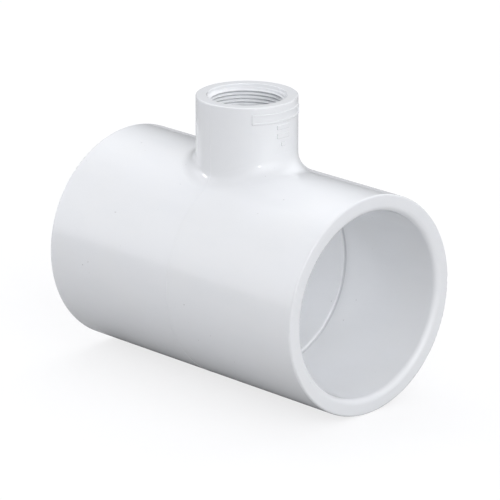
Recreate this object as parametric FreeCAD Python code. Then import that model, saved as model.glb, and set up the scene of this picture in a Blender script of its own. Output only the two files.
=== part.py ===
import FreeCAD, Part
import math
import os

from FreeCAD import Vector

# Moulded PVC reducing tee: a 4 in run with a solvent-cement socket at each end,
# and a 1-1/2 in female pipe thread on the branch. Millimetres.
#
# Origin: where the run axis meets the branch axis.
# +X runs along the run, +Z along the branch and out of its mouth.

# Run
RUN_RADIUS = 67.5
RUN_HALF_LENGTH = 104.0
RUN_RIM_ROUND = 1.2

# Sockets, one at each end of the run
PIPE_RADIUS = 57.15
SOCKET_GAP = 0.1
SOCKET_DEPTH = 76.2
SOCKET_LIP_ROUND = 3.5
WATERWAY_RADIUS = 55.0
STOP_EDGE_ROUND = 0.8

# Branch
BRANCH_RADIUS = 30.85
BRANCH_HEIGHT = 108.7
BRANCH_RIM_ROUND = 0.9
BRANCH_FILLET = 11.5
BRANCH_BORE_RADIUS = 20.45
BRANCH_MOUTH_RADIUS = 24.05
BRANCH_MOUTH_DEPTH = 2.0
BRANCH_MOUTH_ROUND = 0.5
BRANCH_LEAD_IN = 1.4

# Female taper pipe thread, 11.5 turns to the inch, 1 in 16 on diameter
THREAD_PITCH = 25.4 / 11.5
THREAD_PITCH_RADIUS = 22.81
THREAD_TAPER = 1.0 / 32.0
THREAD_HEIGHT = 1.767
THREAD_CREST_RADIUS = 22.05
THREAD_BORE_DEPTH = 25.4
THREAD_RUN_OUT = 2.0
THREAD_FLANK = math.radians(30.0)
THREAD_SIDE_GAP = 0.05
THREAD_START_ANGLE = 90.0
THREAD_PHASE = -90.0

# Parting line, where the two halves of the mould meet at mid-length
WITNESS_HEIGHT = 0.12
WITNESS_WIDTH = 0.5

# Blank raised plate border and pads, centred on the +X side of the branch.
# Each is (width round the branch, height, centre below the branch face).
PLATE = (42.0, 6.4, 7.5)
PLATE_BORDER = 1.2
PADS = [(10.0, 3.0, 13.6), (10.0, 3.0, 19.1), (3.6, 2.4, 24.4)]
PAD_RISE = 0.6
PAD_CORNER = 0.7
PAD_EDGE_ROUND = 0.4
PAD_SINK = 1.0

AXIS_X = Vector(1, 0, 0)
AXIS_Z = Vector(0, 0, 1)
ORIGIN = Vector(0, 0, 0)
FULL_TURN = 360.0


def arc(start, centre, radius, middle_deg, end):
    """An arc from start to end, through the point on the circle at middle_deg, in the XZ plane."""
    a = math.radians(middle_deg)
    middle = centre + Vector(math.cos(a), 0, math.sin(a)) * radius
    return Part.Arc(start, middle, end).toShape()


def line(start, end):
    return Part.makeLine(start, end)


def revolved(edges, axis):
    """The solid that a closed outline in the XZ plane sweeps in a full turn about axis."""
    face = Part.Face(Part.Wire(edges))
    return face.revolve(ORIGIN, axis, FULL_TURN)


def rounded_rod(radius, length, rim_round):
    """A rod along +Z from the origin, with a rounded outer edge at its far end."""
    flat = Vector(radius - rim_round, 0, length)
    side = Vector(radius, 0, length - rim_round)
    centre = Vector(radius - rim_round, 0, length - rim_round)
    edges = [
        line(ORIGIN, Vector(radius, 0, 0)),
        line(Vector(radius, 0, 0), side),
        arc(side, centre, rim_round, 45, flat),
        line(flat, Vector(0, 0, length)),
        line(Vector(0, 0, length), ORIGIN),
    ]
    return revolved(edges, AXIS_Z)


def along_x(shape, sign):
    """A shape built along +Z, turned to lie along +X or -X."""
    turned = shape.copy()
    turned.rotate(ORIGIN, Vector(0, 1, 0), 90 * sign)
    return turned


def both_ends(shape):
    return along_x(shape, 1).fuse(along_x(shape, -1)).removeSplitter()


def outer_body(grow=0.0):
    """The tee without its bores: run, branch and the fillet between them, grown outwards by grow."""
    half_run = rounded_rod(RUN_RADIUS + grow, RUN_HALF_LENGTH, RUN_RIM_ROUND)
    branch = rounded_rod(BRANCH_RADIUS + grow, BRANCH_HEIGHT, BRANCH_RIM_ROUND)
    body = both_ends(half_run).fuse(branch)
    meeting = [
        e
        for e in body.Edges
        if e.BoundBox.ZMin > 0
        and e.BoundBox.ZMax < RUN_RADIUS + 2 * grow + 1
        and e.BoundBox.XLength > BRANCH_RADIUS / 2
        and e.BoundBox.XMax < RUN_HALF_LENGTH / 2
    ]
    return body.makeFillet(BRANCH_FILLET - grow, meeting)


def socket_cavity():
    """The space inside one end of the run, along +Z from the origin: waterway, pipe stop, socket, lead-in."""
    r_socket = PIPE_RADIUS + SOCKET_GAP
    z_stop = RUN_HALF_LENGTH - SOCKET_DEPTH
    z_mouth = RUN_HALF_LENGTH
    edge, lip = STOP_EDGE_ROUND, SOCKET_LIP_ROUND
    waterway = Vector(WATERWAY_RADIUS, 0, z_stop - edge)
    stop_inner = Vector(WATERWAY_RADIUS + edge, 0, z_stop)
    wall_high = Vector(r_socket, 0, z_mouth - lip)
    mouth = Vector(r_socket + lip, 0, z_mouth)
    wall_low = Vector(r_socket, 0, z_stop)
    edges = [
        line(Vector(0, 0, z_mouth), ORIGIN),
        line(ORIGIN, Vector(WATERWAY_RADIUS, 0, 0)),
        line(Vector(WATERWAY_RADIUS, 0, 0), waterway),
        arc(waterway, Vector(WATERWAY_RADIUS + edge, 0, z_stop - edge), edge, 135, stop_inner),
        line(stop_inner, wall_low),
        line(wall_low, wall_high),
        arc(wall_high, Vector(r_socket + lip, 0, z_mouth - lip), lip, 135, mouth),
        line(mouth, Vector(0, 0, z_mouth)),
    ]
    return revolved(edges, AXIS_Z)


def branch_cavity():
    """The smooth space inside the branch: waterway, bore at the thread's crests, lead-in and mouth."""
    r_mouth, mouth_round = BRANCH_MOUTH_RADIUS, BRANCH_MOUTH_ROUND
    z_floor = BRANCH_HEIGHT - THREAD_BORE_DEPTH
    z_mouth = BRANCH_HEIGHT - BRANCH_MOUTH_DEPTH
    z_crests = z_mouth - BRANCH_LEAD_IN
    step = THREAD_CREST_RADIUS - BRANCH_BORE_RADIUS
    mouth_side = Vector(r_mouth, 0, BRANCH_HEIGHT - mouth_round)
    mouth_edge = Vector(r_mouth + mouth_round, 0, BRANCH_HEIGHT)
    mouth_centre = Vector(r_mouth + mouth_round, 0, BRANCH_HEIGHT - mouth_round)
    outline = [
        Vector(0, 0, BRANCH_HEIGHT),
        ORIGIN,
        Vector(BRANCH_BORE_RADIUS, 0, 0),
        Vector(BRANCH_BORE_RADIUS, 0, z_floor - step),
        Vector(THREAD_CREST_RADIUS, 0, z_floor),
        Vector(THREAD_CREST_RADIUS, 0, z_crests),
        Vector(r_mouth, 0, z_mouth),
        mouth_side,
    ]
    edges = [line(a, b) for a, b in zip(outline, outline[1:])]
    edges.append(arc(mouth_side, mouth_centre, mouth_round, 135, mouth_edge))
    edges.append(line(mouth_edge, outline[0]))
    return revolved(edges, AXIS_Z)


def thread_groove():
    """The helical groove between the crests. Its root follows the 1 in 16 taper of the thread."""
    z_low = BRANCH_HEIGHT - THREAD_BORE_DEPTH + THREAD_RUN_OUT
    z_high = BRANCH_HEIGHT + THREAD_PITCH
    pitch_radius = THREAD_PITCH_RADIUS - (BRANCH_HEIGHT - z_low) * THREAD_TAPER
    root = pitch_radius + THREAD_HEIGHT / 2
    half_at_root = THREAD_PITCH / 4 - THREAD_HEIGHT / 2 * math.tan(THREAD_FLANK)
    half_at_open = THREAD_PITCH / 2 - THREAD_SIDE_GAP
    opening = root - (half_at_open - half_at_root) / math.tan(THREAD_FLANK)
    profile = Part.makePolygon(
        [
            Vector(root, 0, z_low - half_at_root),
            Vector(root, 0, z_low + half_at_root),
            Vector(opening, 0, z_low + half_at_open),
            Vector(opening, 0, z_low - half_at_open),
            Vector(root, 0, z_low - half_at_root),
        ]
    )
    taper_deg = math.degrees(math.atan(THREAD_TAPER))
    helix = Part.makeHelix(THREAD_PITCH, z_high - z_low, pitch_radius, taper_deg)
    helix.translate(Vector(0, 0, z_low))
    groove = Part.Wire(helix.Edges).makePipeShell([profile], True, True)
    groove.rotate(ORIGIN, AXIS_Z, THREAD_START_ANGLE)
    return groove


def threaded_bore():
    bore = branch_cavity().fuse(thread_groove())
    bore.rotate(ORIGIN, AXIS_Z, THREAD_PHASE)
    return bore


def witness_line():
    """The fine ridge that the mould's parting line leaves round the outside at mid-length."""
    reach = 2 * BRANCH_HEIGHT
    slab = Part.makeBox(WITNESS_WIDTH, reach, reach)
    slab.translate(Vector(-WITNESS_WIDTH / 2, -reach / 2, BRANCH_HEIGHT - BRANCH_RIM_ROUND - reach))
    return outer_body(WITNESS_HEIGHT).common(slab)


def blank_pad(width, height, below_face, rise=PAD_RISE):
    """A raised pad with rounded corners and edges, on the +X side of the branch. Its width is measured
    round the branch."""
    turn_deg = math.degrees(width / BRANCH_RADIUS)
    base = Vector(0, 0, BRANCH_HEIGHT - below_face - height / 2)
    outside = Part.makeCylinder(BRANCH_RADIUS + rise, height, base, AXIS_Z, turn_deg)
    inside = Part.makeCylinder(BRANCH_RADIUS - PAD_SINK, height, base, AXIS_Z, turn_deg)
    pad = outside.cut(inside)
    pad.rotate(ORIGIN, AXIS_Z, -turn_deg / 2)
    corners = [
        e for e in pad.Edges if isinstance(e.Curve, Part.Line) and e.BoundBox.ZLength < PAD_CORNER
    ]
    pad = pad.makeFillet(PAD_CORNER, corners)
    outer_edges = [
        e for e in pad.Edges if all(math.hypot(v.X, v.Y) > BRANCH_RADIUS + rise / 2 for v in e.Vertexes)
    ]
    return pad.makeFillet(PAD_EDGE_ROUND, outer_edges)


def plate_border():
    """A blank raised border round a plain panel."""
    width, height, below_face = PLATE
    trim = 2 * PLATE_BORDER
    panel = blank_pad(width - trim, height - trim, below_face, 2 * PAD_RISE)
    return blank_pad(*PLATE).cut(panel)


def tee_body():
    body = outer_body().fuse(witness_line())
    body = body.fuse([plate_border()] + [blank_pad(*pad) for pad in PADS])
    return body.cut(both_ends(socket_cavity())).cut(threaded_bore())


os.makedirs("parts", exist_ok=True)
tee_body().exportStep("parts/tee_body.step")
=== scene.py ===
import math

import bpy
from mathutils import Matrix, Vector


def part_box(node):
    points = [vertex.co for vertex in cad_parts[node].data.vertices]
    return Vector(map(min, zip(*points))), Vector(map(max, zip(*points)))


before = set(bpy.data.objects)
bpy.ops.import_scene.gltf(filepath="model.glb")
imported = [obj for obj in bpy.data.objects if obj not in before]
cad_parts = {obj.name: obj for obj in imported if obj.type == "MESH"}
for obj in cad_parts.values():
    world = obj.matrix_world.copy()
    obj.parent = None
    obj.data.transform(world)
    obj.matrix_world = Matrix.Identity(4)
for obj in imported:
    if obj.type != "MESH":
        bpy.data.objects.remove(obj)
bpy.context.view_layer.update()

# Camera: the direction it looks from, its distance and its lens
CAMERA_AZIMUTH_DEG = 45.56
CAMERA_ELEVATION_DEG = 18.42
CAMERA_DISTANCE = 2.311
LENS_MM = 273.7
SENSOR_MM = 36.0
SHIFT_X = 0.0060
SHIFT_Y = 0.0327

# Stage. The floor throws little light back up, so the underside of the fitting stays in shade.
FLOOR_SIZE = 12.0
FLOOR_COLOUR = (0.93, 0.93, 0.935, 1.0)
FLOOR_GLOW = 0.80
FLOOR_SHADING = 0.28
FLOOR_BOUNCE_COLOUR = (0.45, 0.45, 0.45, 1.0)
FLOOR_ROUGHNESS = 0.9
FLOOR_SPECULAR = 0.1
BACKDROP_COLOUR = (1.0, 1.0, 1.0, 1.0)

# Studio light: soft sources, each as azimuth and elevation in degrees, strength, and how narrow it is.
# The last two are small lamps, which put the bright spots on the fillet.
SOFT_SOURCES = [
    (60.0, 24.0, 1.7, 8.0),
    (300.0, 10.0, 2.1, 8.0),
    (0.0, 35.0, 0.5, 8.0),
    (90.0, 35.0, 1.85, 8.0),
    (180.0, 35.0, 1.55, 8.0),
    (240.0, 60.0, 1.85, 8.0),
    (305.0, 7.0, 150.0, 3000.0),
    (61.0, 14.0, 90.0, 3000.0),
]
LIGHT_TINT = (0.99, 1.0, 1.03, 1.0)

# White PVC. Sizes and heights are in metres. Each RANGE is the span of noise values a mark fades in over.
PVC_COLOUR = (0.872, 0.88, 0.892, 1.0)
PVC_WARM_COLOUR = (0.872, 0.878, 0.884, 1.0)
PVC_SHADE_COLOUR = (0.80, 0.82, 0.84, 1.0)
PVC_IOR = 1.53
PVC_ROUGHNESS = (0.08, 0.13)
# Cloudy patches of a warmer white
CLOUD_SIZE = 0.045
CLOUD_RANGE = (0.35, 0.65)
# Flow streaks along the run
FLOW_SIZE = 0.012
FLOW_STRETCH = (0.35, 1.0, 1.0)
FLOW_DETAIL = 4.0
FLOW_RANGE = (0.45, 0.75)
FLOW_AMOUNT = 0.16
# Tiny dark specks in the plastic
SPECK_COLOUR = (0.30, 0.29, 0.28, 1.0)
SPECK_SIZE = 0.0019
SPECK_DETAIL = 0.0
SPECK_RANGE = (0.875, 0.905)
SPECK_AMOUNT = 0.35
# Gloss that varies with handling, and fine scuffs
HANDLED_SIZE = 0.02
HANDLED_DETAIL = 5.0
HANDLED_RANGE = (0.35, 0.7)
SCUFF_SIZE = 0.0012
SCUFF_STRETCH = (0.08, 1.0, 1.0)
SCUFF_DETAIL = 3.0
SCUFF_RANGE = (0.55, 0.8)
SCUFF_ROUGHNESS = 0.025
# Moulding waviness, and a fine orange peel on top of it
SINK_SIZE = 0.03
SINK_DETAIL = 1.0
SINK_HEIGHT = 0.0001
PEEL_SIZE = 0.003
PEEL_DETAIL = 2.0
PEEL_HEIGHT = 0.000006

# Painted shade in the corners: the colour is darkened at the root of the branch thread and in the angle at
# each pipe stop, where shade falls.
# Radii, heights and places along the run in metres.
CORNER_PAINTED_SHADE_COLOUR = (0.42, 0.43, 0.45, 1.0)
ROOT_RADII = (0.0226, 0.0236)
ROOT_HEIGHTS = (0.0840, 0.1052)
ROOT_AMOUNT = 0.7
STOP_RADII = (0.0566, 0.0574)
STOP_PLACES = (0.0277, 0.0286)
STOP_AMOUNT = 0.35
CORNER_EDGE = 0.0004

# Light has to bounce many times to fill the sockets and the thread of so pale a plastic
MAX_BOUNCES = 16
DIFFUSE_BOUNCES = 10


def toward(azimuth_deg, elevation_deg):
    """The unit vector from the origin towards a viewer. Azimuth 0 is on the -Y side, 90 on the +X side."""
    azimuth, elevation = math.radians(azimuth_deg), math.radians(elevation_deg)
    level = math.cos(elevation)
    return Vector((math.sin(azimuth) * level, -math.cos(azimuth) * level, math.sin(elevation)))


def aim(obj, target):
    direction = Vector(target) - obj.location
    obj.rotation_euler = direction.to_track_quat("-Z", "Y").to_euler()


def new_tree(owner):
    owner.use_nodes = True
    owner.node_tree.nodes.clear()
    return owner.node_tree


def maths(tree, operation, first, second):
    """A Math node. Each input is a number or an output socket."""
    node = tree.nodes.new("ShaderNodeMath")
    node.operation = operation
    for socket, value in zip(node.inputs, (first, second)):
        if isinstance(value, (int, float)):
            socket.default_value = value
        else:
            tree.links.new(value, socket)
    return node.outputs[0]


def noise(tree, coords, size, detail=2.0, stretch=(1.0, 1.0, 1.0)):
    """Smooth noise from 0 to 1 whose lumps are about size metres across."""
    place = tree.nodes.new("ShaderNodeMapping")
    place.inputs["Scale"].default_value = [k / size for k in stretch]
    tree.links.new(coords, place.inputs["Vector"])
    node = tree.nodes.new("ShaderNodeTexNoise")
    node.inputs["Scale"].default_value = 1.0
    node.inputs["Detail"].default_value = detail
    tree.links.new(place.outputs["Vector"], node.inputs["Vector"])
    return node.outputs["Fac"]


def ramp(tree, value, low, high, out_low, out_high):
    """Map value from low..high to out_low..out_high, held at the ends."""
    node = tree.nodes.new("ShaderNodeMapRange")
    node.interpolation_type = "SMOOTHSTEP"
    tree.links.new(value, node.inputs["Value"])
    for name, number in (("From Min", low), ("From Max", high), ("To Min", out_low), ("To Max", out_high)):
        node.inputs[name].default_value = number
    return node.outputs["Result"]


def blend(tree, factor, first, second):
    """A colour Mix node. Each colour is four numbers or an output socket."""
    node = tree.nodes.new("ShaderNodeMix")
    node.data_type = "RGBA"
    tree.links.new(factor, node.inputs[0])
    for socket, colour in ((node.inputs[6], first), (node.inputs[7], second)):
        if isinstance(colour, tuple):
            socket.default_value = colour
        else:
            tree.links.new(colour, socket)
    return node.outputs[2]


def window(tree, value, low, high):
    """1 where value is between low and high, falling softly to 0 outside."""
    rise = ramp(tree, value, low - CORNER_EDGE, low, 0.0, 1.0)
    fall = ramp(tree, value, high, high + CORNER_EDGE, 1.0, 0.0)
    return maths(tree, "MULTIPLY", rise, fall)


def distance_from_axis(tree, first, second):
    squares = maths(tree, "MULTIPLY", first, first), maths(tree, "MULTIPLY", second, second)
    return maths(tree, "SQRT", maths(tree, "ADD", *squares), 0.0)


def painted_corner_shade(tree, coords):
    """How much painted shade darkens the colour in the thread root and in the angle at each pipe stop, from 0
    to 1.
    """
    split = tree.nodes.new("ShaderNodeSeparateXYZ")
    tree.links.new(coords, split.inputs["Vector"])
    x, y, z = split.outputs
    from_branch = distance_from_axis(tree, x, y)
    depth = ramp(tree, from_branch, *ROOT_RADII, 0.0, ROOT_AMOUNT)
    inside = window(tree, from_branch, ROOT_RADII[0], ROOT_RADII[1] + CORNER_EDGE)
    root = maths(tree, "MULTIPLY", maths(tree, "MULTIPLY", depth, inside), window(tree, z, *ROOT_HEIGHTS))
    along = window(tree, maths(tree, "ABSOLUTE", x, 0.0), *STOP_PLACES)
    around = window(tree, distance_from_axis(tree, y, z), *STOP_RADII)
    stop = maths(tree, "MULTIPLY", maths(tree, "MULTIPLY", along, around), STOP_AMOUNT)
    return maths(tree, "MAXIMUM", root, stop)


def bump(tree, height, distance, normal=None):
    node = tree.nodes.new("ShaderNodeBump")
    node.inputs["Distance"].default_value = distance
    tree.links.new(height, node.inputs["Height"])
    if normal:
        tree.links.new(normal, node.inputs["Normal"])
    return node.outputs["Normal"]


def pvc_material():
    material = bpy.data.materials.new("white_pvc")
    tree = new_tree(material)
    coords = tree.nodes.new("ShaderNodeTexCoord").outputs["Object"]

    clouds = ramp(tree, noise(tree, coords, CLOUD_SIZE), *CLOUD_RANGE, 0.0, 1.0)
    colour = blend(tree, clouds, PVC_COLOUR, PVC_WARM_COLOUR)
    flow = noise(tree, coords, FLOW_SIZE, FLOW_DETAIL, FLOW_STRETCH)
    colour = blend(tree, ramp(tree, flow, *FLOW_RANGE, 0.0, FLOW_AMOUNT), colour, PVC_SHADE_COLOUR)
    specks = noise(tree, coords, SPECK_SIZE, SPECK_DETAIL)
    colour = blend(tree, ramp(tree, specks, *SPECK_RANGE, 0.0, SPECK_AMOUNT), colour, SPECK_COLOUR)
    # Painted shade: darken the colour in the thread root and in the angle at each pipe stop
    colour = blend(tree, painted_corner_shade(tree, coords), colour, CORNER_PAINTED_SHADE_COLOUR)

    handled = noise(tree, coords, HANDLED_SIZE, HANDLED_DETAIL)
    scuffs = noise(tree, coords, SCUFF_SIZE, SCUFF_DETAIL, SCUFF_STRETCH)
    roughness = maths(
        tree,
        "ADD",
        ramp(tree, handled, *HANDLED_RANGE, *PVC_ROUGHNESS),
        ramp(tree, scuffs, *SCUFF_RANGE, 0.0, SCUFF_ROUGHNESS),
    )

    normal = bump(tree, noise(tree, coords, SINK_SIZE, SINK_DETAIL), SINK_HEIGHT)
    normal = bump(tree, noise(tree, coords, PEEL_SIZE, PEEL_DETAIL), PEEL_HEIGHT, normal)

    shader = tree.nodes.new("ShaderNodeBsdfPrincipled")
    shader.inputs["IOR"].default_value = PVC_IOR
    tree.links.new(colour, shader.inputs["Base Color"])
    tree.links.new(roughness, shader.inputs["Roughness"])
    tree.links.new(normal, shader.inputs["Normal"])
    out = tree.nodes.new("ShaderNodeOutputMaterial")
    tree.links.new(shader.outputs["BSDF"], out.inputs["Surface"])
    return material


def floor_material():
    """A lit table: the camera sees a pale glow with a faint shadow on it. Little light bounces back up."""
    material = bpy.data.materials.new("floor")
    tree = new_tree(material)
    out = tree.nodes.new("ShaderNodeOutputMaterial")
    shader = tree.nodes.new("ShaderNodeBsdfPrincipled")
    shader.inputs["Roughness"].default_value = FLOOR_ROUGHNESS
    shader.inputs["Specular IOR Level"].default_value = FLOOR_SPECULAR
    seen = tree.nodes.new("ShaderNodeLightPath").outputs["Is Camera Ray"]
    shown = tuple(c * FLOOR_SHADING for c in FLOOR_COLOUR[:3]) + (1.0,)
    tree.links.new(blend(tree, seen, FLOOR_BOUNCE_COLOUR, shown), shader.inputs["Base Color"])
    shader.inputs["Emission Color"].default_value = FLOOR_COLOUR
    tree.links.new(maths(tree, "MULTIPLY", seen, FLOOR_GLOW), shader.inputs["Emission Strength"])
    tree.links.new(shader.outputs["BSDF"], out.inputs["Surface"])
    return material


def add_floor(height):
    mesh = bpy.data.meshes.new("floor")
    s = FLOOR_SIZE / 2
    mesh.from_pydata([(-s, -s, height), (s, -s, height), (s, s, height), (-s, s, height)], [], [(0, 1, 2, 3)])
    mesh.materials.append(floor_material())
    floor = bpy.data.objects.new("floor", mesh)
    bpy.context.scene.collection.objects.link(floor)


def add_studio():
    """A plain backdrop behind the object, and soft sources all round it."""
    world = bpy.data.worlds.new("studio")
    tree = new_tree(world)
    out = tree.nodes.new("ShaderNodeOutputWorld")
    backdrop = tree.nodes.new("ShaderNodeBackground")
    backdrop.inputs["Color"].default_value = BACKDROP_COLOUR
    light = tree.nodes.new("ShaderNodeBackground")
    light.inputs["Color"].default_value = LIGHT_TINT
    coords = tree.nodes.new("ShaderNodeTexCoord")
    total = 0.0
    for azimuth, elevation, strength, narrowness in SOFT_SOURCES:
        facing = tree.nodes.new("ShaderNodeVectorMath")
        facing.operation = "DOT_PRODUCT"
        tree.links.new(coords.outputs["Generated"], facing.inputs[0])
        facing.inputs[1].default_value = toward(azimuth, elevation)
        lit = maths(tree, "MAXIMUM", facing.outputs["Value"], 0.0)
        fall = maths(tree, "POWER", lit, narrowness)
        total = maths(tree, "ADD", maths(tree, "MULTIPLY", fall, strength), total)
    tree.links.new(total, light.inputs["Strength"])
    rays = tree.nodes.new("ShaderNodeLightPath")
    mix = tree.nodes.new("ShaderNodeMixShader")
    tree.links.new(rays.outputs["Is Camera Ray"], mix.inputs["Fac"])
    tree.links.new(light.outputs["Background"], mix.inputs[1])
    tree.links.new(backdrop.outputs["Background"], mix.inputs[2])
    tree.links.new(mix.outputs["Shader"], out.inputs["Surface"])
    bpy.context.scene.world = world


def add_camera():
    data = bpy.data.cameras.new("camera")
    data.lens = LENS_MM
    data.sensor_width = SENSOR_MM
    data.shift_x = SHIFT_X
    data.shift_y = SHIFT_Y
    camera = bpy.data.objects.new("camera", data)
    camera.location = toward(CAMERA_AZIMUTH_DEG, CAMERA_ELEVATION_DEG) * CAMERA_DISTANCE
    bpy.context.scene.collection.objects.link(camera)
    aim(camera, (0, 0, 0))
    bpy.context.scene.camera = camera


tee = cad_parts["tee_body"]
tee.data.materials.clear()
tee.data.materials.append(pvc_material())

add_floor(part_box("tee_body")[0].z)
add_studio()
add_camera()
bpy.context.scene.view_settings.view_transform = "Standard"
bpy.context.scene.cycles.max_bounces = MAX_BOUNCES
bpy.context.scene.cycles.diffuse_bounces = DIFFUSE_BOUNCES
